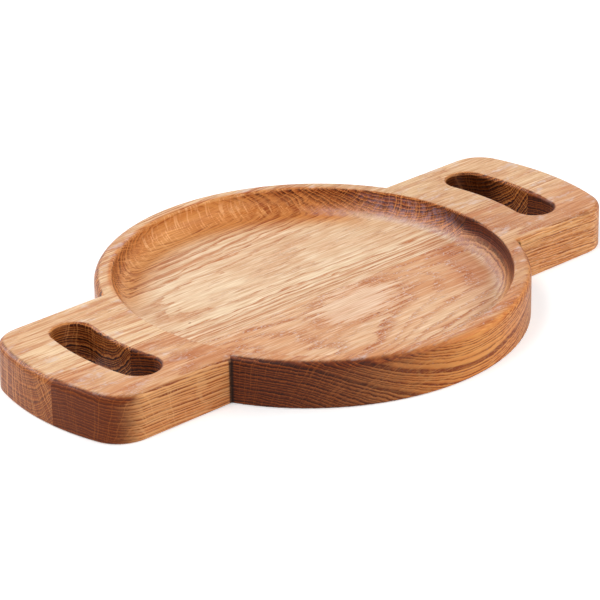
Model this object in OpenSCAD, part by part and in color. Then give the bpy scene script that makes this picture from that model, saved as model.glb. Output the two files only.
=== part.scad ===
// Oak serving board: a round dished body with a flat handle at each end and a
// curved grip slot through each handle. Two oak staves are glued edge to edge,
// then the panel is milled as one, so both staves carry their share of every
// curve. X runs along the staves, the board rests on Z = 0 and the dish opens up.

/* [Round body] */
// Diameter of the round body
disc_d = 300; // [260:1:340]
// Thickness of the board
board_t = 33; // [28:0.5:45]

/* [Handles] */
// How far each handle reaches past the round body
handle_reach = 88; // [80:1:110]
// Width of each handle
handle_w = 135; // [115:1:160]
// Corner radius between a handle's side and its curved end
corner_r = 25.5; // [15:0.5:35]

/* [Edges] */
// Round-over along the top outer edge
top_round = 5; // [2:0.5:8]
// Easing along the bottom outer edge
base_ease = 1; // [0.5:0.1:2]

/* [Dish] */
// Width of the rim, from the outer edge to the dish wall
rim_w = 12.5; // [12:0.5:40]
// Depth of the dish below the rim
dish_depth = 16.5; // [10:0.5:22]
// Cove radius between the dish wall and its floor
dish_cove = 14; // [6:0.5:14]
// Easing of the dish's top edge
dish_ease = 2; // [0.5:0.5:3]

/* [Grip slots] */
// Wood left between a slot and the handle's end, on the centre line
slot_gap = 37; // [30:1:50]
// Width of a slot
slot_w = 28.5; // [22:0.5:34]
// Overall length of a slot
slot_l = 97; // [80:1:104]
// Radius of the curve that the middle of a slot follows
slot_bend = 170; // [110:1:300]
// Round-over along a slot's top edge
slot_round = 2.5; // [1:0.5:4]

/* [Staves] */
// Distance from the board's centre line forward to the glue line
glue_offset = 12; // [0:1:60]

/* [Hidden] */
$fn = 180;

// How far a cutting shape runs past the face that it opens
over = 2;
// How far the halves of an arc lap over each other past the centre line
lap_angle = 1;

disc_r = disc_d / 2;
half_l = disc_r + handle_reach;
half_w = handle_w / 2;

// The handle's end arc runs into each corner arc on a ray that rises 7 for
// every 24 along the board, which sets the end's radius from the handle's width
end_rise = 7 / 25;
end_run = 24 / 25;
end_half_angle = asin(end_rise);
end_r = corner_r + (half_w - corner_r) / end_rise;
end_x = half_l - end_r;
corner_x = end_x + (end_r - corner_r) * end_run;

dish_r = disc_r - rim_w;
dish_floor_z = board_t - dish_depth;
cove_r = min(dish_cove, dish_depth - dish_ease);

// The slot is swept along an arc, and its round ends close it
slot_half_w = slot_w / 2;
slot_mid_x = half_l - slot_gap - slot_half_w;
slot_end_y = slot_l / 2 - slot_half_w;
slot_half_angle = asin(slot_end_y / slot_bend);

// A square corner with the quarter circle at its inner side taken out
module corner_waste(r) {
    difference() {
        square(r + over);
        circle(r);
    }
}

// Board section from an axis out to an edge, with both edge corners rounded
module edge_section(reach) {
    difference() {
        square([reach, board_t]);
        translate([reach - top_round, board_t - top_round])
            corner_waste(top_round);
        translate([reach - base_ease, base_ease])
            mirror([0, 1])
                corner_waste(base_ease);
    }
}

// What a round-over takes off beside a cut whose wall is the Y axis and whose
// mouth is at the origin, with the wood on the +X side
module mouth_flare(r) {
    difference() {
        translate([-over, -r])
            square([r + over, r + over]);
        translate([r, -r])
            circle(r);
    }
}

module round_body() {
    rotate_extrude()
        edge_section(disc_r);
}

// The part of an upright slab on the +X side of the origin
module ahead_of_origin() {
    translate([0, -half_l, -over])
        cube([half_l, 2 * half_l, board_t + 2 * over]);
}

// Half of the end arc, drawn from its ray at Y = 0 clockwise past the centre
// line, where it laps over the other half
module end_arc() {
    mirror([0, 1])
        rotate_extrude(angle = end_half_angle + lap_angle)
            edge_section(end_r);
}

// Corner arc from its ray at Y = 0 round to the handle's straight side
module corner_arc() {
    intersection() {
        rotate_extrude(angle = 180)
            edge_section(corner_r);
        rotate(-end_half_angle)
            ahead_of_origin();
    }
}

// Straight side, from the corner arc back past the middle of the board
module side_bar() {
    bar_l = corner_x + over;
    bar_w = half_w + over;
    translate([-bar_l, 0, 0])
        rotate([90, 0, 90])
            linear_extrude(bar_l)
                translate([corner_r - bar_w, 0])
                    edge_section(bar_w);
}

// Each piece is drawn in the frame of the one that it meets, so that the arcs
// run into each other and into the straight side with no step
module half_handle() {
    translate([end_x, 0])
        rotate(end_half_angle) {
            end_arc();
            translate([end_r - corner_r, 0]) {
                corner_arc();
                rotate(-end_half_angle)
                    side_bar();
            }
        }
}

module blank() {
    round_body();
    for (turn = [0, 180], side = [0, 1])
        rotate(turn)
            mirror([0, side])
                half_handle();
}

module dish_section() {
    difference() {
        translate([0, dish_floor_z])
            square([dish_r, dish_depth + over]);
        translate([dish_r - cove_r, dish_floor_z + cove_r])
            mirror([0, 1])
                corner_waste(cove_r);
    }
    translate([dish_r, board_t])
        mouth_flare(dish_ease);
}

module dish() {
    rotate_extrude()
        dish_section();
}

// One side of the slot's section: half its width with an eased mouth above
// and below
module slot_half_section() {
    translate([0, -over])
        square([slot_half_w, board_t + 2 * over]);
    translate([slot_half_w, board_t])
        mouth_flare(slot_round);
    translate([slot_half_w, 0])
        mirror([0, 1])
            mouth_flare(base_ease);
}

// Half of a slot's run, from its end at Y = 0 clockwise past the centre line
module slot_run() {
    mirror([0, 1])
        rotate_extrude(angle = slot_half_angle + lap_angle)
            translate([slot_bend, 0])
                for (side = [0, 1])
                    mirror([side, 0])
                        slot_half_section();
}

// Half turn that closes the slot beyond the end of its run
module slot_end() {
    translate([slot_bend, 0])
        rotate_extrude(angle = 180)
            slot_half_section();
}

module grip_slot() {
    translate([slot_mid_x - slot_bend, 0])
        for (side = [0, 1])
            mirror([0, side])
                rotate(slot_half_angle) {
                    slot_run();
                    slot_end();
                }
}

module board() {
    difference() {
        blank();
        dish();
        for (turn = [0, 180])
            rotate(turn)
                grip_slot();
    }
}

// Everything behind the glue line, to cut a stave out of the milled panel
module behind_glue_line() {
    translate([-half_l - over, -glue_offset, -over])
        cube([2 * (half_l + over), disc_r + glue_offset + over, board_t + 2 * over]);
}

module back_stave() {
    color("burlywood")
        intersection() {
            board();
            behind_glue_line();
        }
}

module front_stave() {
    color("peru")
        difference() {
            board();
            behind_glue_line();
        }
}

back_stave();
front_stave();
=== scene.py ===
# %% [markdown]
# A round oak serving board with a dish turned into it and a grip slot through each
# handle. The two glued oak staves come from the CAD frame with their shape already
# right, so the work here is what a finisher does: the wood itself, its oil, the light
# and the camera. A name that ends in _mm is in millimetres, and all other lengths are
# in metres.

# %% Open the frame
import math

import bpy
from mathutils import Matrix, Vector


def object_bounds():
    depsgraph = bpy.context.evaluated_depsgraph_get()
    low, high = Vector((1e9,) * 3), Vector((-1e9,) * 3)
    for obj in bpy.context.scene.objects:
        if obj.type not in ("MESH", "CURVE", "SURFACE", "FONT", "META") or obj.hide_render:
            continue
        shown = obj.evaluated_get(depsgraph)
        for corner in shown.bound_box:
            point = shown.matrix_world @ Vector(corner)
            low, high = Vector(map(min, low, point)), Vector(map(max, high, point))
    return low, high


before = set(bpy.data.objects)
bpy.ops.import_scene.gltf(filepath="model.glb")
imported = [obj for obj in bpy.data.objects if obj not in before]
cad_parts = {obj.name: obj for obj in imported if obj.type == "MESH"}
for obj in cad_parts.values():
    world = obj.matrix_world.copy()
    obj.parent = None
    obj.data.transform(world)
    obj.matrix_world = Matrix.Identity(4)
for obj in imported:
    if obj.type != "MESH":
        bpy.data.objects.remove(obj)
cad_bounds = [list(corner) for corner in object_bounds()]
low, high = [Vector(corner) for corner in cad_bounds]
print("board", [round(length * 1000, 1) for length in high - low], "mm")

# %% [markdown]
# The camera stands where the photograph was taken from: about two metres off, level
# with a person who sits at the table, looking along both the front and the left of the
# board. It could be turned by eye, but its place here was worked out from the board's
# outline, so that the proportions can be compared line by line. A long lens keeps the
# handles nearly parallel. The picture is square, and the lens is shifted a little
# because the board isn't quite in its middle.

# %% Camera
picture_px = 600
aim = Vector((0.015836, 0.006941, 0.0))
camera_distance = 2.119833
camera_azimuth = math.radians(42.494)
camera_height_angle = math.radians(25.081)
camera_roll = math.radians(-0.782)
focus_px = 3049.28
centre_px = 323.32
film_mm = 36

forward = Vector((
    math.cos(camera_height_angle) * math.sin(camera_azimuth),
    math.cos(camera_height_angle) * math.cos(camera_azimuth),
    -math.sin(camera_height_angle),
))
right = forward.cross(Vector((0, 0, 1))).normalized()
up = right.cross(forward)
rolled_right = math.cos(camera_roll) * right + math.sin(camera_roll) * up
rolled_up = math.cos(camera_roll) * up - math.sin(camera_roll) * right

camera_data = bpy.data.cameras.new("camera")
camera = bpy.data.objects.new("camera", camera_data)
bpy.context.collection.objects.link(camera)
turn = Matrix((rolled_right, rolled_up, -forward)).transposed()
camera.matrix_world = Matrix.Translation(aim - forward * camera_distance) @ turn.to_4x4()
camera_data.sensor_width = film_mm
camera_data.lens = film_mm * focus_px / picture_px
camera_data.shift_x = (picture_px / 2 - centre_px) / picture_px
bpy.context.scene.camera = camera
print("lens", round(camera_data.lens, 1), "mm, at", [round(part, 3) for part in camera.location])

# %% [markdown]
# A finish is a chain of small nodes. It could be wired by hand in the shader editor,
# but a recipe in words is easier to read and to change. This bench puts nodes down,
# wires them as it goes, and gives back each node's result for the next step.

# %% Node bench
class Bench:
    """Puts nodes down in one node tree and wires them as it goes."""

    def __init__(self, node_tree):
        self.nodes = node_tree.nodes
        self.links = node_tree.links
        self.nodes.clear()

    def put(self, kind, **settings):
        node = self.nodes.new(kind)
        for key, value in settings.items():
            setattr(node, key, value)
        return node

    def feed(self, socket, value):
        if isinstance(value, bpy.types.NodeSocket):
            self.links.new(value, socket)
        elif value is not None:
            socket.default_value = value

    def calc(self, operation, first, second=None, third=None):
        node = self.put("ShaderNodeMath", operation=operation)
        for socket, value in zip(node.inputs, (first, second, third)):
            self.feed(socket, value)
        return node.outputs[0]

    def times(self, first, *others):
        for other in others:
            first = self.calc("MULTIPLY", first, other)
        return first

    def plus_share(self, value, share, base):
        """A share of the value on top of a base."""
        return self.calc("MULTIPLY_ADD", value, share, base)

    def rest(self, value):
        """What the value leaves of one."""
        return self.calc("SUBTRACT", 1.0, value)

    def sway(self, noise, by, base):
        """Pushes a base up and down with a noise that lies around one half."""
        return self.calc("MULTIPLY_ADD", self.calc("SUBTRACT", noise, 0.5), by, base)

    def distance(self, first, second):
        """How far off a point is that lies this far off on each of two axes."""
        square = self.times(second, second)
        return self.calc("SQRT", self.calc("MULTIPLY_ADD", first, first, square))


print("the bench can", ", ".join(word for word in vars(Bench) if not word.startswith("_")))

# %% [markdown]
# A material needs more than sums: it stretches and moves points in space, and mixes
# colours. Most of the wood is made with ease, which turns any measure into a soft
# mask, such as how far a point lies inside the dish. Oil and the painted shade are
# tints that the colour below is multiplied by, because they darken wood and never hide it.

# %% Finish helper
def linear(red, green, blue):
    """A colour as a painter's 0 to 255 values, in the light that Blender mixes in."""
    parts = []
    for value in (red, green, blue):
        value = value / 255
        parts.append(value / 12.92 if value <= 0.04045 else ((value + 0.055) / 1.055) ** 2.4)
    return (*parts, 1.0)


class Finish(Bench):
    """A bench for one material."""

    def __init__(self, name):
        self.material = bpy.data.materials.new(name)
        self.material.use_nodes = True
        super().__init__(self.material.node_tree)

    def vector(self, operation, first, second=None):
        node = self.put("ShaderNodeVectorMath", operation=operation)
        self.feed(node.inputs[0], first)
        self.feed(node.inputs[1], second)
        return node

    def stretch(self, point, per_axis):
        return self.vector("MULTIPLY", point, per_axis).outputs[0]

    def move(self, point, by):
        return self.vector("ADD", point, by).outputs[0]

    def pack(self, x, y, z):
        node = self.put("ShaderNodeCombineXYZ")
        for socket, value in zip(node.inputs, (x, y, z)):
            self.feed(socket, value)
        return node.outputs[0]

    def unpack(self, point):
        node = self.put("ShaderNodeSeparateXYZ")
        self.feed(node.inputs[0], point)
        return tuple(node.outputs)

    def ease(self, value, start, end, low=0.0, high=1.0):
        """Goes smoothly from low to high as the value goes from start to end."""
        node = self.put("ShaderNodeMapRange", interpolation_type="SMOOTHSTEP")
        for socket, part in zip(node.inputs, (value, start, end, low, high)):
            self.feed(socket, part)
        return node.outputs[0]

    def blend(self, amount, first, second, mode="MIX"):
        """Mixes two colours, which go into a Mix node's colour sockets, 6 and 7."""
        node = self.put("ShaderNodeMix", data_type="RGBA", blend_type=mode)
        self.feed(node.inputs[0], amount)
        self.feed(node.inputs[6], first)
        self.feed(node.inputs[7], second)
        return node.outputs[2]

    def soak(self, amount, colour, oil):
        """Darkens a colour with a tint, as far as the amount says. The tints are oil and painted
        shade.
        """
        return self.blend(amount, colour, self.blend(1.0, colour, oil, "MULTIPLY"))


print("mid grey mixes as", round(linear(128, 128, 128)[0], 3))

# %% [markdown]
# Oak is drawn as the tree grew it, in the solid and not on its skin, so that every cut
# through it shows the right figure. A picture laid on the board would show the same
# lines on the top and in the slots, and would tear at the dish's wall. So each stave
# first gets the facts of its own tree. The pith is given by its place across the board
# and its height, and by how far it leans for each step along the board. The back
# stave's pith ran above the board, so the rings hang from it in arcs on the stave's
# end. The four ring_calm values are two radii and the strength of the rings at each.

# %% Back stave's tree
back_tree = {
    "pith_mm": (47, 76),
    "pith_lean": (0.045, -0.027),
    "pith_turn_mm": None,
    "ring_mm": 2.2,
    "ring_flat_mm": 20,
    "ring_flare_mm": 10.0,
    "ring_ripple_mm": 2.8,
    "ring_calm": (57, 66, 0.35, 1.35),
    "dark_years_mm": ((69.0, 1.3), (75.8, 1.3)),
    "island": None,
    "plain_top": 0.0,
    "edge_lines": -0.1,
    "late_glow": 1.0,
    "rays_from": 0.56,
    "ray_glow": 0.6,
    "ray_fleck": 0.7,
    "cross_marks": 1.0,
    # The specks below are painted glints. The lean paints shade on end grain that faces left, and
    # the cove foot is paled partly as a painted sheen.
    "glint_specks": 0.2,
    "shade_lean": (-0.08, -0.03),
    "drinks_from": -0.12,
    "pale_cove_foot": 0.2,
    "end_polish": -0.12,
    "knots_mm": (((-88, 85, 17), (2.0, 1.5, 9)), ((-97, 17, 17), (1.5, 1.0, 9))),
    "seed": 1.3,
}
print("back stave: pith at", back_tree["pith_mm"], "mm, rings", back_tree["ring_mm"], "mm")

# %% Back stave's colours
back_colours = {
    "pale": linear(243, 219, 187),
    "light": linear(236, 206, 170),
    "warm": linear(222, 180, 141),
    "line": linear(188, 112, 60),
    "edge_line": linear(156, 88, 44),
    "pore": linear(150, 84, 46),
    "mark": linear(238, 176, 116),
    "end_light": linear(216, 136, 70),
    "end_mid": linear(154, 78, 34),
    "end_dark": linear(54, 18, 8),
    "ray": linear(234, 156, 90),
    "rim_oil": (0.97, 0.88, 0.78, 1),
    # The side tint below is partly oil and partly painted shade. The slot, wall and crease colours
    # are painted shade. The wax colour is partly a painted highlight.
    "side_oil_and_shade": (0.83, 0.47, 0.20, 1),
    "slot_shade": (0.24, 0.17, 0.14, 1),
    "wall_shade": (0.24, 0.17, 0.14, 1),
    "soot": linear(34, 16, 9),
    "wax": linear(230, 218, 214),
}
print("back stave:", len(back_colours), "colours")

# %% [markdown]
# The front stave shows another cut. Its pith ran below the board and in front of its
# middle, so the saw skimmed the rings and the top shows broad flat figure. Near the
# left end the pith turns, which bends the lines on that handle. The wood is redder
# than the back stave, with fainter rays. Both staves share one set of names, so one
# recipe can make them both.

# %% Front stave's tree
front_tree = {
    "pith_mm": (-57, -84),
    "pith_lean": (0.04, -0.05),
    "pith_turn_mm": (-150, -235, 24),
    "ring_mm": 2.1,
    "ring_flat_mm": 12,
    "ring_flare_mm": 0.0,
    "ring_ripple_mm": 1.8,
    "ring_calm": (0, 10, 1.0, 1.0),
    "dark_years_mm": (),
    "island": {"middle_mm": (8, -37), "size_mm": (34, 22), "year": 49.28},
    "plain_top": 0.45,
    "edge_lines": 0.9,
    "late_glow": 0.75,
    "rays_from": 0.61,
    "ray_glow": 0.3,
    "ray_fleck": 0.3,
    "cross_marks": 0.5,
    # The specks below are painted glints. The lean paints shade on end grain that faces left, and
    # the cove foot is paled partly as a painted sheen.
    "glint_specks": 0.6,
    "shade_lean": (0.13, -0.03),
    "drinks_from": -0.04,
    "pale_cove_foot": 0.85,
    "end_polish": 0.04,
    "knots_mm": (((5, -60, 17), (1.6, 1.1, 9)),),
    "seed": 5.9,
}
print("front stave: pith at", front_tree["pith_mm"], "mm, rings", front_tree["ring_mm"], "mm")

# %% Front stave's colours
front_colours = {
    "pale": linear(236, 200, 166),
    "light": linear(229, 187, 147),
    "warm": linear(210, 148, 102),
    "line": linear(180, 104, 56),
    "edge_line": linear(134, 72, 34),
    "pore": linear(140, 76, 42),
    "mark": linear(214, 150, 92),
    "end_light": linear(174, 92, 34),
    "end_mid": linear(118, 51, 15),
    "end_dark": linear(42, 13, 5),
    "ray": linear(180, 98, 38),
    "rim_oil": (0.94, 0.85, 0.76, 1),
    # The side tint below is partly oil and partly painted shade. The slot, wall and crease colours
    # are painted shade. The wax colour is partly a painted highlight.
    "side_oil_and_shade": (0.95, 0.72, 0.44, 1),
    "slot_shade": (0.24, 0.17, 0.14, 1),
    "wall_shade": (0.46, 0.31, 0.20, 1),
    "soot": linear(30, 14, 8),
    "wax": linear(226, 212, 208),
}
print("front stave:", len(front_colours), "colours")

# %% [markdown]
# Both woods now go through the same steps, one after the other, as two staves on one
# bench do. Each step keeps what it found on the wood itself, for the steps that follow.
# Every place is read from the board's own coordinates, so the figure stays with the
# wood wherever the board is moved.

# %% Start the two woods
mm_per_metre = 1000
noise_step = (1.0, 1.7, 2.3)
noise_layers = {
    "slow bends": 0,
    "small bends": 3,
    "pores": 7,
    "streaks": 11,
    "threads": 13,
    "drift": 17,
    "wax": 23,
    "cross marks": 31,
    "specks": 41,
    "grit": 53,
    "dashes": 59,
}


class Oak(Finish):
    """One stave's wood, with noise that is its own."""

    def __init__(self, name, tree, colours):
        super().__init__(name)
        self.tree = tree
        self.colours = colours
        place = self.put("ShaderNodeTexCoord").outputs["Object"]
        self.mm = self.stretch(place, (mm_per_metre, mm_per_metre, mm_per_metre))
        self.x, self.y, self.z = self.unpack(self.mm)
        # how far off the board's two middle lines a point is
        self.far_x = self.calc("ABSOLUTE", self.x)
        self.far_y = self.calc("ABSOLUTE", self.y)

    def noise(self, layer, size_mm, detail, rough):
        """Cloudy noise with clouds of about this size. The layer keeps noises apart."""
        spot = self.stretch(self.mm, tuple(1 / length for length in size_mm))
        offset = self.tree["seed"] + noise_layers[layer]
        spot = self.move(spot, tuple(offset * step for step in noise_step))
        node = self.put("ShaderNodeTexNoise", noise_dimensions="3D")
        self.feed(node.inputs["Vector"], spot)
        self.feed(node.inputs["Scale"], 1)
        self.feed(node.inputs["Detail"], detail)
        self.feed(node.inputs["Roughness"], rough)
        return node

    def mottle(self, layer, size_mm, detail=2.0, rough=0.5):
        return self.noise(layer, size_mm, detail, rough).outputs["Fac"]

    def wander(self, layer, size_mm, detail=2.0, rough=0.5):
        """Two noises that have nothing to do with each other, for Y and for Z."""
        return self.unpack(self.noise(layer, size_mm, detail, rough).outputs["Color"])[1:]


oaks = {
    "back_stave": Oak("back_oak_wood", back_tree, back_colours),
    "front_stave": Oak("front_oak_wood", front_tree, front_colours),
}


def treat(step):
    """Takes both staves through one step and says how many nodes it took."""
    for stave, oak in oaks.items():
        before = len(oak.nodes)
        step(oak)
        print(stave, step.__name__.replace("_", " "), len(oak.nodes) - before, "nodes")


print("woods started:", ", ".join(oaks))

# %% [markdown]
# A trunk is a stack of tubes, one for each year, round the pith. Cut along the tubes
# they give long lines or tall arches, and cut across them they give the arcs of the end
# grain. Blender's Wave texture could draw round rings, but all of them alike. This
# step works out how far each point lies from the pith, so that every ring can have a
# width and a strength of its own. No trunk is straight: slow bends make the lines
# wander, small ones make them ripple, and the tubes are flatter beside the pith than
# a circle is. Towards the glue line the back stave's rings flare a little.

# %% Trunk
slow_bends_mm = (190, 75, 75)
small_bends_mm = (22, 9, 9)
slow_bend_by_mm = 8.0
flare_span_mm = (6, -18)


def away_from_pith(oak, place, start, lean, slow, small, turn_mm):
    """How far a point lies from the pith on one axis."""
    pith = oak.plus_share(oak.x, lean, start)
    if turn_mm:
        turn_start, turn_end, turned = turn_mm
        pith = oak.calc("ADD", pith, oak.ease(oak.x, turn_start, turn_end, 0.0, turned))
    away = oak.calc("SUBTRACT", place, pith)
    bent = oak.sway(slow, slow_bend_by_mm, away)
    return oak.sway(small, oak.tree["ring_ripple_mm"], bent)


def grow_trunk(oak):
    tree = oak.tree
    slow_y, slow_z = oak.wander("slow bends", slow_bends_mm, detail=1.0)
    small_y, small_z = oak.wander("small bends", small_bends_mm)
    pith_y, pith_z = tree["pith_mm"]
    lean_y, lean_z = tree["pith_lean"]
    away_y = away_from_pith(oak, oak.y, pith_y, lean_y, slow_y, small_y, tree["pith_turn_mm"])
    away_z = away_from_pith(oak, oak.z, pith_z, lean_z, slow_z, small_z, None)
    flare = oak.ease(oak.y, *flare_span_mm, 0.0, tree["ring_flare_mm"])
    oak.out_z = oak.calc("SUBTRACT", away_z, flare)
    size_y = oak.calc("ABSOLUTE", away_y)
    flatter = oak.calc("ADD", size_y, tree["ring_flat_mm"])
    oak.out_y = oak.calc("DIVIDE", oak.times(away_y, size_y), flatter)
    oak.radius = oak.distance(oak.out_y, oak.out_z)
    oak.angle = oak.calc("ARCTAN2", oak.out_z, oak.out_y)


treat(grow_trunk)

# %% [markdown]
# Oak's fibres are long and thin, and run the way the trunk does. There are far too
# many to draw one by one, so noise that is drawn out along the board stands for them:
# broad streaks, single threads, and a slow drift of the colour. The streaks and the
# threads also fray the rings later, because a ring's edge follows the fibres and is
# never a clean line.

# %% Fibres
streak_mm = (70, 4.2, 4.2)
thread_mm = (26, 1.5, 1.5)
drift_mm = (120, 26, 26)


def lay_fibres(oak):
    oak.streak = oak.mottle("streaks", streak_mm, detail=3.0, rough=0.6)
    oak.thread = oak.mottle("threads", thread_mm, rough=0.65)
    oak.drift = oak.mottle("drift", drift_mm)


treat(lay_fibres)

# %% [markdown]
# What a ring looks like depends on how the cut meets it. Where the surface lies along
# the ring, as a saw skims the outside of a log, the ring spreads out, and drawn at full
# strength it would be a dark blot. So this step asks which way the surface faces, and
# how squarely it faces the pith, and the rings fade there.

# %% The cut
near_top_mm = (24, 32)
tilt_span = (0.99, 0.80)
square_on_span = (0.80, 0.97)


def face_the_cut(oak):
    oak.facing = oak.put("ShaderNodeNewGeometry").outputs["Normal"]
    face_y, face_z = oak.unpack(oak.facing)[1:]
    oak.face_up = oak.calc("ABSOLUTE", face_z)
    oak.tilt = oak.ease(oak.face_up, *tilt_span)
    to_pith = oak.plus_share(face_y, oak.out_y, oak.times(face_z, oak.out_z))
    square_on = oak.calc("ABSOLUTE", oak.calc("DIVIDE", to_pith, oak.radius))
    plain = oak.ease(oak.z, *near_top_mm, 0.0, oak.tree["plain_top"])
    plain = oak.calc("MAXIMUM", oak.tilt, plain)
    oak.skimmed = oak.times(oak.ease(square_on, *square_on_span), plain)


treat(face_the_cut)

# %% [markdown]
# In the front half of the dish the cutter broke through the top of one ring. A pale
# patch of the year below shows there, like an island, with a brown and mottled shore
# where the ring thins out. A ring pattern that only follows the radius draws this by
# luck, so the island gets its own place and size here, and inside it every point
# belongs to one year.

# %% Island
island_slope = -0.25
island_streaks = 2.6
island_threads = 1.3
inland_span = (0.9, 1.6)
shore_inner_span = (0.95, 1.1)
shore_outer_span = (1.75, 1.35)
shore_thread_span = (0.34, 0.56)
shore_front_mm = (-75, -45)
shore_least = 0.3
shore_front_share = 0.5


def raise_island(oak, count):
    """Measures how far out of the island a point lies, and evens the years inside."""
    island = oak.tree["island"]
    middle_x, middle_y = island["middle_mm"]
    size_x, size_y = island["size_mm"]
    along = oak.calc("SUBTRACT", oak.x, middle_x)
    across = oak.plus_share(along, island_slope, oak.calc("SUBTRACT", oak.y, middle_y))
    out = oak.distance(oak.calc("DIVIDE", along, size_x), oak.calc("DIVIDE", across, size_y))
    out = oak.sway(oak.streak, island_streaks, out)
    oak.offshore = oak.sway(oak.thread, island_threads, out)
    inland = oak.ease(oak.offshore, *inland_span, 1.0, 0.0)
    shore = oak.ease(oak.offshore, *shore_inner_span)
    shore = oak.times(shore, oak.ease(oak.offshore, *shore_outer_span))
    mottled = oak.ease(oak.thread, *shore_thread_span, shore_least, 1.0)
    front = oak.ease(oak.y, *shore_front_mm, shore_front_share, 1.0)
    oak.shore = oak.times(shore, mottled, front)
    return oak.plus_share(oak.calc("SUBTRACT", island["year"], count), inland, count)


print("island on", [stave for stave, oak in oaks.items() if oak.tree["island"]])

# %% [markdown]
# A tree grows faster in some years than in others, so a slow noise along the radius
# widens some rings and narrows the rest. The fibres then fray them. The whole part of
# the count is the year, and what is left over is the season within it.

# %% Years
uneven_per_mm = 0.11
uneven_years = 3.0
fray_by_streaks = 0.7
fray_by_threads = 0.35


def count_years(oak):
    uneven = oak.put("ShaderNodeTexNoise", noise_dimensions="1D")
    oak.feed(uneven.inputs["W"], oak.times(oak.radius, uneven_per_mm))
    oak.feed(uneven.inputs["Scale"], 1)
    even = oak.calc("DIVIDE", oak.radius, oak.tree["ring_mm"])
    count = oak.plus_share(uneven.outputs["Fac"], uneven_years, even)
    if oak.tree["island"]:
        count = raise_island(oak, count)
    count = oak.plus_share(oak.streak, fray_by_streaks, count)
    oak.count = oak.plus_share(oak.thread, fray_by_threads, count)


treat(count_years)

# %% [markdown]
# In spring oak grows a band of wide open vessels, and in summer dense smooth wood. The
# band is what reads as a line on the board, and the late wood as the pale stripe
# between two lines. Each year gets a strength of its own, by a throw of dice on its
# number. At the ends of the handles, hands and cloths have worn the figure down.

# %% Early and late wood
band_fade_span = (0.12, 0.62)
band_rise_span = (0.0, 0.10)
late_span = (0.60, 0.88)
faintest_ring = 0.3
skimmed_off_band = 0.9
skimmed_off_late = 0.8
shore_band = 0.7
shore_strength = 0.85
worn_ends_mm = (205, 222)
worn_by = 0.4


def split_seasons(oak):
    season = oak.calc("FRACT", oak.count)
    dice = oak.put("ShaderNodeTexWhiteNoise", noise_dimensions="1D")
    oak.feed(dice.inputs["W"], oak.calc("FLOOR", oak.count))
    strength = oak.plus_share(dice.outputs["Value"], 1 - faintest_ring, faintest_ring)
    strength = oak.times(strength, oak.ease(oak.radius, *oak.tree["ring_calm"]))
    band = oak.times(oak.ease(season, *band_fade_span, 1.0, 0.0), oak.ease(season, *band_rise_span))
    band = oak.times(band, oak.plus_share(oak.skimmed, -skimmed_off_band, 1.0))
    late = oak.ease(season, *late_span)
    late = oak.times(late, oak.plus_share(oak.skimmed, -skimmed_off_late, 1.0))
    if oak.tree["island"]:
        band = oak.calc("MAXIMUM", band, oak.times(oak.shore, shore_band))
        strength = oak.calc("MAXIMUM", strength, oak.times(oak.shore, shore_strength))
    kept = oak.rest(oak.times(oak.ease(oak.far_x, *worn_ends_mm, 0.0, worn_by), oak.tilt))
    oak.ring_strength = strength
    oak.band = oak.times(band, kept)
    oak.late = oak.times(late, kept)


treat(split_seasons)

# %% [markdown]
# Pores are short thin tubes along the stave, most of them in the band. Rays are thin
# sheets that run out from the pith through all the rings. Across the end grain they
# show as fine pale threads, and on the long sides as flecks. A noise that is narrow in
# the angle round the pith, and long in the radius, draws them from every side at once.

# %% Pores and rays
pore_mm = (7.0, 0.8, 0.8)
pore_span = (0.54, 0.68)
pores_outside_band = 0.2
ray_long_mm = 20
ray_deep_mm = 45
rays_per_turn_part = 170
ray_soft = 0.12


def open_pores(oak):
    pores = oak.ease(oak.mottle("pores", pore_mm, detail=1.0), *pore_span)
    share = oak.plus_share(oak.band, 1 - pores_outside_band, pores_outside_band)
    oak.pores = oak.times(pores, share)


def draw_rays(oak):
    spot = oak.pack(
        oak.times(oak.x, 1 / ray_long_mm),
        oak.times(oak.angle, rays_per_turn_part),
        oak.times(oak.radius, 1 / ray_deep_mm),
    )
    sheets = oak.put("ShaderNodeTexNoise", noise_dimensions="3D")
    oak.feed(sheets.inputs["Vector"], spot)
    oak.feed(sheets.inputs["Scale"], 1)
    oak.feed(sheets.inputs["Detail"], 0)
    rays_from = oak.tree["rays_from"]
    oak.rays = oak.ease(sheets.outputs["Fac"], rays_from, rays_from + ray_soft)


treat(open_pores)
treat(draw_rays)

# %% [markdown]
# Oil and hands treat each part of the board in their own way, so the next steps need to
# know where a point lies: in a slot, in the dish, on the rim, or on an edge. These
# could be painted on by hand. Soft masks made from the board's own measures do the
# same, and they land in the right place at every resolution. Here and in the later
# steps, a pair of numbers is where a mask starts and where it is complete. The floor
# and the cove beside the dish's wall on the far left count as an edge too, so that
# the edges' darker tone lies there as painted shade from that wall.

# %% Places on the board
dish_mm = (142, 139)
slot_inner_mm = (160, 166)
slot_sides_mm = (52, 49)
slot_outer_mm = (214, 206)
edge_span = (0.99, 0.75)
beside_wall_mm = (104, 126)
left_of_mm = (120, 90)
far_side_mm = (30, 90)
far_side_most = 0.95


def find_places(oak):
    oak.from_middle = oak.distance(oak.x, oak.y)
    oak.in_dish = oak.ease(oak.from_middle, *dish_mm)
    oak.in_slot = oak.times(
        oak.ease(oak.far_x, *slot_inner_mm),
        oak.ease(oak.far_y, *slot_sides_mm),
        oak.ease(oak.far_x, *slot_outer_mm),
    )
    edge = oak.ease(oak.face_up, *edge_span)
    oak.rim = oak.times(oak.ease(oak.z, *near_top_mm), oak.rest(edge))
    beside_wall = oak.times(oak.in_dish, oak.ease(oak.from_middle, *beside_wall_mm))
    far_side = oak.ease(oak.y, *far_side_mm, 0.0, far_side_most)
    far_left_wall_shade = oak.times(oak.ease(oak.x, *left_of_mm), far_side)
    # The ring beside the far-left wall is painted shade.
    oak.edge = oak.calc("MAXIMUM", edge, oak.times(beside_wall, far_left_wall_shade))


treat(find_places)
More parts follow.
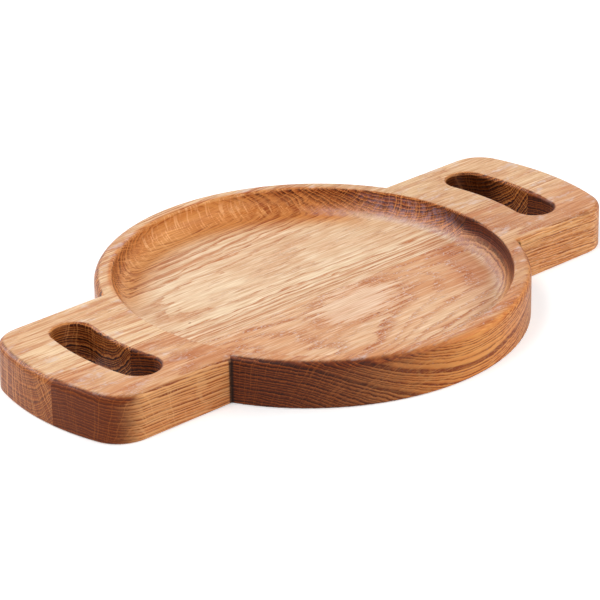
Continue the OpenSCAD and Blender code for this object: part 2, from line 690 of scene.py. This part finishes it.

# %% [markdown]
# End grain is a bundle of open straws: it drinks the oil and turns dark. It could be a
# second material on the end faces, but the board is round and its edges are too, so
# the colour follows how far the surface faces along the fibres. That direction is
# tilted a little, so that faces that look left come out darker than faces that look
# right: the difference is painted shade. The slot walls count as end grain all round,
# partly for the oil that the cloth can't reach there and partly as painted shade. At
# the dish's lip the end grain is left out, which paints a pale highlight along the
# rounded lip. At the foot of its cove less end grain shows, partly as sanded wood and
# partly as a painted sheen.

# %% End grain
below_top_mm = (33, 29)
slant_by_threads = 0.35
slant_by_streaks = 0.25
full_oil_height_mm = (27, 31)
full_oil_slant = (-0.88, -0.50)
right_facing_span = (0.06, 0.95)
slot_wall_oil_and_shade = 0.85
cove_foot_mm = (25, 17)
lip_mm = (32.2, 33.0)
wall_foot_mm = (20, 26)
wall_top_mm = (32.4, 30.5)
wall_front_mm = (40, -12)
wall_back_shade = 0.12


def soak_end_grain(oak):
    # The tilted fibre direction paints shade on faces that look left.
    fibre = tuple(Vector((1, *oak.tree["shade_lean"])).normalized())
    slant = oak.vector("DOT_PRODUCT", oak.facing, fibre).outputs["Value"]
    slant = oak.sway(oak.thread, slant_by_threads, slant)
    slant = oak.sway(oak.streak, slant_by_streaks, slant)
    full_at = oak.ease(oak.z, *full_oil_height_mm, *full_oil_slant)
    facing_left = oak.ease(slant, oak.tree["drinks_from"], full_at)
    end_grain = oak.calc("MAXIMUM", facing_left, oak.ease(slant, *right_facing_span))
    # Slot walls are end grain all round, partly oil and partly painted shade.
    slot_wall = oak.times(oak.in_slot, oak.ease(oak.z, *below_top_mm, 0.0, slot_wall_oil_and_shade))
    end_grain = oak.calc("MAXIMUM", end_grain, slot_wall)
    # Less end grain at the cove foot is partly a painted sheen; none at the lip paints a pale
    # highlight.
    cove = oak.times(oak.in_dish, oak.ease(oak.z, *cove_foot_mm, 0.0, oak.tree["pale_cove_foot"]))
    lip_highlight = oak.times(oak.in_dish, oak.ease(oak.z, *lip_mm))
    oak.end_grain = oak.times(end_grain, oak.rest(cove), oak.rest(lip_highlight))
    # Painted shade on the dish's wall under the rim, strongest at the front.
    wall = oak.times(oak.ease(oak.z, *wall_foot_mm), oak.ease(oak.z, *wall_top_mm))
    front = oak.ease(oak.y, *wall_front_mm, wall_back_shade, 1.0)
    oak.under_rim = oak.times(oak.in_dish, wall, oak.end_grain, front)


treat(soak_end_grain)

# %% [markdown]
# The colour of a cut along the fibres comes first. One flat tone would look like
# paint, so it starts as a slow drift between a light and a warm tone, with warm
# streaks and pale threads over it. The island is a little paler and cooler than the
# wood round it.

# %% Colour along the fibres
warm_drift_span = (0.35, 0.65)
warm_streak_span = (0.46, 0.60)
warm_streak_share = 0.7
pale_thread_span = (0.52, 0.36)
pale_thread_share = 0.6
island_colour = linear(238, 209, 187)
island_share = 0.30
island_colour_span = (1.15, 0.7)


def lay_ground_colour(oak):
    colours = oak.colours
    drift = oak.ease(oak.drift, *warm_drift_span)
    ground = oak.blend(drift, colours["light"], colours["warm"])
    streaks = oak.ease(oak.streak, *warm_streak_span, 0.0, warm_streak_share)
    ground = oak.blend(streaks, ground, colours["warm"])
    threads = oak.ease(oak.thread, *pale_thread_span, 0.0, pale_thread_share)
    ground = oak.blend(threads, ground, colours["pale"])
    if oak.tree["island"]:
        pale = oak.times(oak.ease(oak.offshore, *island_colour_span), island_share)
        ground = oak.blend(pale, ground, island_colour)
    oak.along = ground


treat(lay_ground_colour)

# %% [markdown]
# Over the ground colour go the ring lines, broken up by the threads. They are stronger
# on the front stave's long side, and calmer towards its right end. Two years of the
# back stave were hard ones, and left dark lines of their own. The rays leave pale
# flecks on the sides, and the pores small dark strokes.

# %% Ring lines
line_thread_span = (0.38, 0.58)
line_thread_share = (0.45, 1.15)
calm_right_mm = (120, 60)
calm_right_share = 0.2
line_share = 0.95
late_edge_share = 0.45
side_pore_share = 0.4
dark_year_fray_mm = 4.0
dark_year_core = 0.3
dark_year_share = 0.75


def draw_ring_lines(oak):
    colours = oak.colours
    broken = oak.ease(oak.thread, *line_thread_span, *line_thread_share)
    line = oak.times(oak.band, oak.ring_strength, broken)
    on_edge = oak.times(oak.edge, oak.ease(oak.x, *calm_right_mm, calm_right_share, 1.0))
    on_edge = oak.plus_share(on_edge, oak.tree["edge_lines"], 1.0)
    line = oak.calc("MINIMUM", oak.times(line, on_edge), 1.0)
    for radius_mm, wide_mm in oak.tree["dark_years_mm"]:
        off = oak.sway(oak.streak, dark_year_fray_mm, oak.calc("SUBTRACT", oak.radius, radius_mm))
        off = oak.calc("ABSOLUTE", off)
        dark = oak.ease(off, wide_mm * dark_year_core, wide_mm, dark_year_share, 0.0)
        line = oak.calc("MAXIMUM", line, dark)
    late = oak.times(oak.late, oak.edge, late_edge_share)
    colour = oak.blend(late, oak.along, colours["pale"])
    line_colour = oak.blend(oak.edge, colours["line"], colours["edge_line"])
    colour = oak.blend(oak.times(line, line_share), colour, line_colour)
    flecks = oak.times(oak.rays, oak.edge, oak.tree["ray_fleck"])
    colour = oak.blend(flecks, colour, colours["pale"])
    pores = oak.times(oak.pores, side_pore_share)
    oak.along = oak.blend(pores, colour, colours["pore"])


treat(draw_ring_lines)

# %% [markdown]
# The rim and the handle tops are wiped last, so they keep a thin coat of oil that
# brings out the streaks. More of it stays on the far right, round the dish. The edges
# are rounded and wiped across, and hold more again. Their darker, warmer tone, which
# also covers the sides, is partly that oil and partly painted shade, as the sides get
# less light than the top. Where a round edge runs over the fibres, the sander leaves
# fine pale marks that cross them.

# %% Oil on the rim, oil and painted shade on the edges
stripe_span = (0.50, 0.62)
stripe_right_mm = (60, 140)
stripe_share = (0.55, 0.30)
far_rim_right_mm = (30, 100)
far_rim_reach_mm = (200, 155)
far_rim_least = 0.3
far_rim_oil = (0.90, 0.86, 0.83, 1)
cross_mark_mm = (1.5, 12, 12)
cross_mark_span = (0.54, 0.66)
cross_mark_least = 0.25


def oil_rim_and_edges(oak):
    colours = oak.colours
    stripe = oak.ease(oak.streak, *stripe_span)
    stripe = oak.times(stripe, oak.ease(oak.x, *stripe_right_mm, *stripe_share), oak.rim)
    colour = oak.blend(stripe, oak.along, colours["line"])
    colour = oak.soak(oak.rim, colour, colours["rim_oil"])
    round_dish = oak.ease(oak.from_middle, *far_rim_reach_mm, far_rim_least, 1.0)
    far_rim = oak.times(oak.rim, oak.ease(oak.x, *far_rim_right_mm), round_dish)
    colour = oak.soak(far_rim, colour, far_rim_oil)
    # Partly oil and partly painted shade: the sides, and the floor beside the far-left wall, are
    # darkened and warmed.
    colour = oak.soak(oak.edge, colour, colours["side_oil_and_shade"])
    marks = oak.ease(oak.mottle("cross marks", cross_mark_mm, detail=1.0), *cross_mark_span)
    over_fibres = oak.plus_share(oak.skimmed, 1 - cross_mark_least, cross_mark_least)
    marks = oak.times(marks, oak.edge, over_fibres)
    oak.along = oak.blend(oak.times(marks, oak.tree["cross_marks"]), colour, colours["mark"])


treat(oil_rim_and_edges)

# %% [markdown]
# A cut across the fibres has its own colours, because the oil fills it: dark bands of
# open vessels, a lighter line of late wood, and the rays as the palest threads of all.
# The two cuts then meet softly, as far as the end grain mask says.

# %% Colour across the fibres
late_thread_span = (0.38, 0.56)
late_least = 0.3
end_band_share = 0.9
end_pore_share = 0.6


def lay_end_colour(oak):
    colours = oak.colours
    late_glow = oak.tree["late_glow"]
    across = oak.blend(oak.times(oak.band, end_band_share), colours["end_mid"], colours["end_dark"])
    across = oak.blend(oak.times(oak.pores, end_pore_share), across, colours["end_dark"])
    broken = oak.ease(oak.thread, *late_thread_span, late_glow * late_least, late_glow)
    across = oak.blend(oak.times(oak.late, broken), across, colours["end_light"])
    across = oak.blend(oak.times(oak.rays, oak.tree["ray_glow"]), across, colours["ray"])
    oak.surface = oak.blend(oak.end_grain, oak.along, across)


treat(lay_end_colour)

# %% [markdown]
# Seen close, the wood is never smooth in colour: fine grit runs along the fibres. Plain
# grey grit looks like dirt and turns oak green, so this one moves blue the most and red
# the least, and stays in the browns. On the right the grit is painted stronger, and
# pale dashes are painted on the sides as glints, where light would rake the grain.

# %% Grit and dashes
grit_mm = (24, 0.8, 0.8)
grit_parts = (0.7, 1.15, 1.6)
grit_side_span = (0.55, 0.25)
grit_right_mm = (40, 130)
grit_right_share = 1.3
dash_mm = (5, 1.0, 1.0)
dash_span = (0.57, 0.67)
dash_share = 0.30
dash_right_mm = (60, 140)


def roughen_colour(oak):
    # The grit is painted stronger on the right, as raking light would show it.
    gritty = oak.calc(
        "MAXIMUM",
        oak.rest(oak.ease(oak.face_up, *grit_side_span)),
        oak.ease(oak.x, *grit_right_mm, 0.0, grit_right_share),
    )
    grit = oak.calc("SUBTRACT", oak.mottle("grit", grit_mm, detail=1.0), 0.5)
    grit = oak.times(grit, gritty)
    shade = oak.pack(*(oak.plus_share(grit, part, 1.0) for part in grit_parts))
    surface = oak.blend(1.0, oak.surface, shade, "MULTIPLY")
    # The pale dashes on the right sides are painted glints.
    dashes = oak.ease(oak.mottle("dashes", dash_mm, detail=1.0), *dash_span, 0.0, dash_share)
    dashes = oak.times(dashes, oak.edge, oak.ease(oak.x, *dash_right_mm), oak.rest(oak.end_grain))
    oak.surface = oak.blend(dashes, surface, oak.colours["pale"])


treat(roughen_colour)

# %% [markdown]
# The walls of the grip slots are darkened with painted shade, over their dark end grain:
# deepest low in the slot, in the open bands, and at the far end of the right slot,
# where little light reaches. Darker lamps could give the same look from one side only,
# so it is in the colour.

# %% Painted shade in the slots
slot_upper_share = 0.18
slot_lower_mm = (30, 12)
slot_lower_share = 0.32
slot_band_share = 2.0
slot_late_share = -0.6
slot_ground_share = 0.7
slot_far_end_mm = (4, 34)
slot_right_mm = (0, 50)
slot_left_share = 0.12


def shade_slots(oak):
    upper = oak.ease(oak.z, *below_top_mm, 0.0, slot_upper_share)
    lower = oak.ease(oak.z, *slot_lower_mm, 0.0, slot_lower_share)
    shade_by_bands = oak.plus_share(oak.band, slot_band_share, slot_ground_share)
    shade_by_bands = oak.plus_share(oak.late, slot_late_share, shade_by_bands)
    # Painted shade in the slots.
    slot_shade_amount = oak.times(oak.in_slot, oak.calc("ADD", upper, lower), shade_by_bands)
    far_end = oak.ease(oak.y, *slot_far_end_mm)
    far_end = oak.times(far_end, oak.ease(oak.x, *slot_right_mm, slot_left_share, 1.0))
    wall = oak.times(oak.in_slot, oak.ease(oak.z, *below_top_mm))
    slot_shade_amount = oak.plus_share(wall, far_end, slot_shade_amount)
    oak.surface = oak.soak(slot_shade_amount, oak.surface, oak.colours["slot_shade"])


treat(shade_slots)

# %% [markdown]
# Painted shade goes under the dish's rim, where the wall keeps the light off, on the
# floor beside the right wall, and up the cove on the far side. The front of the round
# body gets painted shade on the left, where the end grain starts, and a warmer tint
# from the middle on.

# %% Painted shade round the dish
right_floor_mm = (85, 112)
right_floor_end_mm = (127, 119)
right_floor_x_mm = (30, 110)
right_floor_y_mm = (20, -20)
right_floor_shade = (0.84, 0.68, 0.62, 1)
far_cove_mm = (92, 118)
far_cove_end_mm = (138, 132)
far_cove_x_mm = (-20, 30)
far_cove_y_mm = (35, 80)
far_cove_shade = (0.91, 0.79, 0.66, 1)
round_face_mm = (144, 149)
round_face_end_mm = (153, 151)
round_face_front_mm = (-60, -70)
round_face_left_mm = (-110, -10)
round_left_shade = (0.72, 0.68, 0.75, 1)
round_right_oil = (0.98, 0.85, 0.60, 1)


def ring_mask(oak, inner_mm, outer_mm):
    """A ring round the board's middle, between an inner and an outer edge."""
    return oak.times(oak.ease(oak.from_middle, *inner_mm), oak.ease(oak.from_middle, *outer_mm))


def shade_round_dish(oak):
    # Painted shade under the rim.
    surface = oak.soak(oak.under_rim, oak.surface, oak.colours["wall_shade"])
    # Painted shade on the floor beside the right wall.
    floor_ring = ring_mask(oak, right_floor_mm, right_floor_end_mm)
    at_right = oak.times(oak.ease(oak.x, *right_floor_x_mm), oak.ease(oak.y, *right_floor_y_mm))
    surface = oak.soak(oak.times(floor_ring, at_right), surface, right_floor_shade)
    # Painted shade up the cove on the far side.
    cove_ring = ring_mask(oak, far_cove_mm, far_cove_end_mm)
    at_far = oak.times(oak.ease(oak.x, *far_cove_x_mm), oak.ease(oak.y, *far_cove_y_mm))
    surface = oak.soak(oak.times(cove_ring, at_far), surface, far_cove_shade)
    # Painted shade on the front of the round body at the left, a warm tint to the right.
    round_face = ring_mask(oak, round_face_mm, round_face_end_mm)
    round_face = oak.times(round_face, oak.ease(oak.y, *round_face_front_mm))
    round_shade_and_tint = oak.blend(oak.ease(oak.x, *round_face_left_mm), round_left_shade, round_right_oil)
    oak.surface = oak.soak(round_face, surface, round_shade_and_tint)


treat(shade_round_dish)

# %% [markdown]
# A dark thread of painted shade runs up the four inner corners where a handle runs
# into the round body, where the crease keeps the light out. The corner is a line that
# stands upright, so the distance to that line is all that is needed.

# %% Painted shade in the corners
corner_x_mm = 134.0
corner_y_mm = 67.5
corner_reach_mm2 = (0.3, 5.0)
corner_share = 0.9


def darken_corners(oak):
    off_x = oak.calc("SUBTRACT", oak.far_x, corner_x_mm)
    off_y = oak.calc("SUBTRACT", oak.far_y, corner_y_mm)
    reach = oak.plus_share(off_x, off_x, oak.times(off_y, off_y))
    # Painted shade in the crease.
    crease_shade_amount = oak.ease(reach, *corner_reach_mm2, corner_share, 0.0)
    crease_shade_amount = oak.times(crease_shade_amount, oak.ease(oak.z, *below_top_mm))
    oak.surface = oak.blend(crease_shade_amount, oak.surface, oak.colours["soot"])


treat(darken_corners)

# %% [markdown]
# The last coat is wax. It leaves cloudy, shinier patches on the rim and the handles,
# whose pale colour is partly wax and partly a painted highlight. The milky haze in the
# cove on the right and the cool bluish sheen on the wall above it are painted
# reflections of the lamps. The pale specks in the open bands of the dish are painted
# glints.

# %% Wax, and painted highlights and reflections
wax_mm = (20, 10, 10)
wax_span = (0.54, 0.70)
wax_share = 0.4
haze_mm = (122, 128)
haze_end_mm = (134.5, 130)
haze_right_mm = (78, 96)
haze_thread_span = (0.35, 0.60)
haze_least = 0.3
haze_share = 0.20
haze_reflection_colour = linear(220, 204, 222)
sheen_mm = (122, 132)
sheen_height_mm = (32, 29)
sheen_right_mm = (106, 124)
sheen_far_mm = (-20, 20)
sheen_streak_span = (0.42, 0.62)
sheen_share = (0.03, 0.17)
sheen_reflection_colour = linear(196, 192, 228)


def wax_and_paint_reflections(oak):
    oak.wax = oak.ease(oak.mottle("wax", wax_mm, detail=4.0, rough=0.7), *wax_span)
    # Wax patches, partly a painted highlight.
    surface = oak.blend(oak.times(oak.wax, oak.rim, wax_share), oak.surface, oak.colours["wax"])
    # Painted reflection: the haze in the right cove.
    painted_haze = oak.times(ring_mask(oak, haze_mm, haze_end_mm), oak.ease(oak.x, *haze_right_mm))
    painted_haze = oak.times(painted_haze, oak.ease(oak.thread, *haze_thread_span, haze_least, 1.0))
    surface = oak.blend(oak.times(painted_haze, haze_share), surface, haze_reflection_colour)
    # Painted reflection: the bluish sheen on the wall above it.
    painted_sheen = oak.times(
        oak.in_dish,
        oak.ease(oak.from_middle, *sheen_mm),
        oak.ease(oak.z, *sheen_height_mm),
        oak.ease(oak.x, *sheen_right_mm),
        oak.ease(oak.y, *sheen_far_mm),
        oak.ease(oak.streak, *sheen_streak_span, *sheen_share),
    )
    oak.surface = oak.blend(painted_sheen, surface, sheen_reflection_colour)


treat(wax_and_paint_reflections)

# %% Painted glints
speck_mm = (1.8, 0.7, 0.7)
speck_span = (0.60, 0.72)
speck_lost_on_edge = 0.85


def paint_glint_specks(oak):
    # Painted glints in the open bands of the dish.
    specks = oak.ease(oak.mottle("specks", speck_mm, detail=0.0), *speck_span)
    specks = oak.times(specks, oak.times(oak.band, oak.tree["glint_specks"]))
    specks = oak.times(specks, oak.plus_share(oak.edge, -speck_lost_on_edge, 1.0))
    specks = oak.times(specks, oak.rest(oak.end_grain))
    oak.surface = oak.blend(specks, oak.surface, oak.colours["wax"])


treat(paint_glint_specks)

# %% [markdown]
# Pin knots are the feet of buds that never grew into a branch. Each one is a small dark
# dot on the dish's floor. A painted dot would do, but a slim upright egg in the solid
# stays right if the dish is cut deeper.

# %% Pin knots
knot_span = (0.5, 1.0)
knot_share = 0.85


def set_knots(oak):
    for place_mm, size_mm in oak.tree["knots_mm"]:
        off = oak.move(oak.mm, tuple(-part for part in place_mm))
        off = oak.stretch(off, tuple(1 / part for part in size_mm))
        distance = oak.vector("LENGTH", off).outputs["Value"]
        spot = oak.ease(distance, *knot_span, knot_share, 0.0)
        oak.surface = oak.blend(spot, oak.surface, oak.colours["pore"])


treat(set_knots)

# %% [markdown]
# The skin brings it together. The pores and the bands lie a little lower than the
# wood round them, so they catch the light, and a bump of a third of a millimetre is
# enough at this size. Oiled oak is neither matt nor glossy. The bands are duller and
# the waxed patches shinier than the rest, and each stave's end grain has its own
# polish.

# %% Skin
pore_depth = 0.8
band_depth = 0.3
thread_height = 0.5
bump_strength = 0.35
bump_depth = 0.0003
roughness = 0.42
band_dullness = 0.10
wax_shine = -0.10
skin_ior = 1.45
skin_specular = 0.22


def close_skin(oak):
    hollows = oak.plus_share(oak.pores, pore_depth, oak.times(oak.band, band_depth))
    relief = oak.calc("SUBTRACT", oak.times(oak.thread, thread_height), hollows)
    bump = oak.put("ShaderNodeBump")
    oak.feed(bump.inputs["Strength"], bump_strength)
    oak.feed(bump.inputs["Distance"], bump_depth)
    oak.feed(bump.inputs["Height"], relief)
    dull = oak.plus_share(oak.band, band_dullness, roughness)
    dull = oak.plus_share(oak.end_grain, oak.tree["end_polish"], dull)
    dull = oak.plus_share(oak.wax, wax_shine, dull)
    skin = oak.put("ShaderNodeBsdfPrincipled")
    oak.feed(skin.inputs["Base Color"], oak.surface)
    oak.feed(skin.inputs["Roughness"], dull)
    oak.feed(skin.inputs["Normal"], bump.outputs[0])
    oak.feed(skin.inputs["IOR"], skin_ior)
    oak.feed(skin.inputs["Specular IOR Level"], skin_specular)
    outlet = oak.put("ShaderNodeOutputMaterial")
    oak.feed(outlet.inputs["Surface"], skin.outputs[0])


treat(close_skin)

# %% [markdown]
# The staves keep the shape that the frame gave them, and only their material changes.
# Because the figure is in the solid, nothing has to be unwrapped or laid on.

# %% Dress the staves
for stave, oak in oaks.items():
    for material_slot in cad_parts[stave].material_slots:
        material_slot.material = oak.material
    print(stave, "wears", oak.material.name, "with", len(oak.nodes), "nodes")

# %% [markdown]
# The floor is a plain pale sheet, far bigger than the view. A white backdrop could be
# had with more light, but that would bleach the board too. So to the camera, and in
# reflections, the sheet gives a little light of its own: it reads as white paper and
# still keeps the board's soft shadow.

# %% Floor
floor_size = 20
floor_gap = 0.0002
paper_white = (0.86, 0.86, 0.86, 1)
paper_rough = 0.9
paper_glow = 0.35


def seen_directly(bench):
    """One for what the camera sees, also in a mirror or through glass, or else nothing."""
    path = bench.put("ShaderNodeLightPath")
    seen = bench.calc("MAXIMUM", path.outputs["Is Camera Ray"], path.outputs["Is Glossy Ray"])
    return bench.calc("MAXIMUM", seen, path.outputs["Is Transmission Ray"])


bpy.ops.mesh.primitive_plane_add(size=floor_size, location=(0, 0, low.z - floor_gap))
floor = bpy.context.object
floor.name = "floor"
paper = Finish("floor_paper")
sheet = paper.put("ShaderNodeBsdfPrincipled")
paper.feed(sheet.inputs["Base Color"], paper_white)
paper.feed(sheet.inputs["Roughness"], paper_rough)
paper.feed(sheet.inputs["Emission Color"], (1, 1, 1, 1))
paper.feed(sheet.inputs["Emission Strength"], paper.times(seen_directly(paper), paper_glow))
paper.feed(paper.put("ShaderNodeOutputMaterial").inputs["Surface"], sheet.outputs[0])
floor.data.materials.append(paper.material)
print("floor", floor_size, "m wide,", floor_gap * 1000, "mm below the board")

# %% [markdown]
# The light is a studio's. The room itself is white to the camera, but it lights the
# board with only a third of that, so that the lamps can shape it.

# %% Room
room_level = 0.35
world = bpy.data.worlds.new("room")
bpy.context.scene.world = world
world.use_nodes = True
room = Bench(world.node_tree)
walls = room.put("ShaderNodeBackground")
room.feed(walls.inputs["Color"], (1, 1, 1, 1))
to_camera = room.times(seen_directly(room), 1 - room_level)
room.feed(walls.inputs["Strength"], room.calc("ADD", to_camera, room_level))
room.feed(room.put("ShaderNodeOutputWorld").inputs["Surface"], walls.outputs[0])
print("room level", room_level, "with", len(room.nodes), "nodes")

# %% [markdown]
# Four soft boxes stand round the table, and all of them look at the board's middle. One
# lamp would leave hard shadows in the slots. The back box stands behind the board and
# puts the pale gloss on the dish's far side. The top box, high on the left, lights the
# handles and the floor of the dish. The key box at the front right lights the long
# sides, and the front box fills the shadow below them.

# %% Soft boxes
def soft_box(name, place, size, watts):
    data = bpy.data.lights.new(name, "AREA")
    data.shape = "SQUARE"
    data.size = size
    data.energy = watts
    lamp = bpy.data.objects.new(name, data)
    bpy.context.collection.objects.link(lamp)
    lamp.location = place
    lamp.rotation_euler = (-Vector(place)).to_track_quat("-Z", "Y").to_euler()
    print(name, "at", round(Vector(place).length, 2), "m,", watts, "W")


soft_box("back_box", place=(-0.5, 1.6, 1.0), size=0.9, watts=18)
soft_box("top_box", place=(-0.9, -0.05, 1.75), size=0.6, watts=10)
soft_box("key_box", place=(1.3, -1.2, 1.3), size=1.2, watts=17)
soft_box("front_box", place=(0.0, -1.9, 1.0), size=1.0, watts=9)

# %% [markdown]
# The plain colour view shows every finish as it is written.

# %% Look
bpy.context.scene.view_settings.view_transform = "Standard"
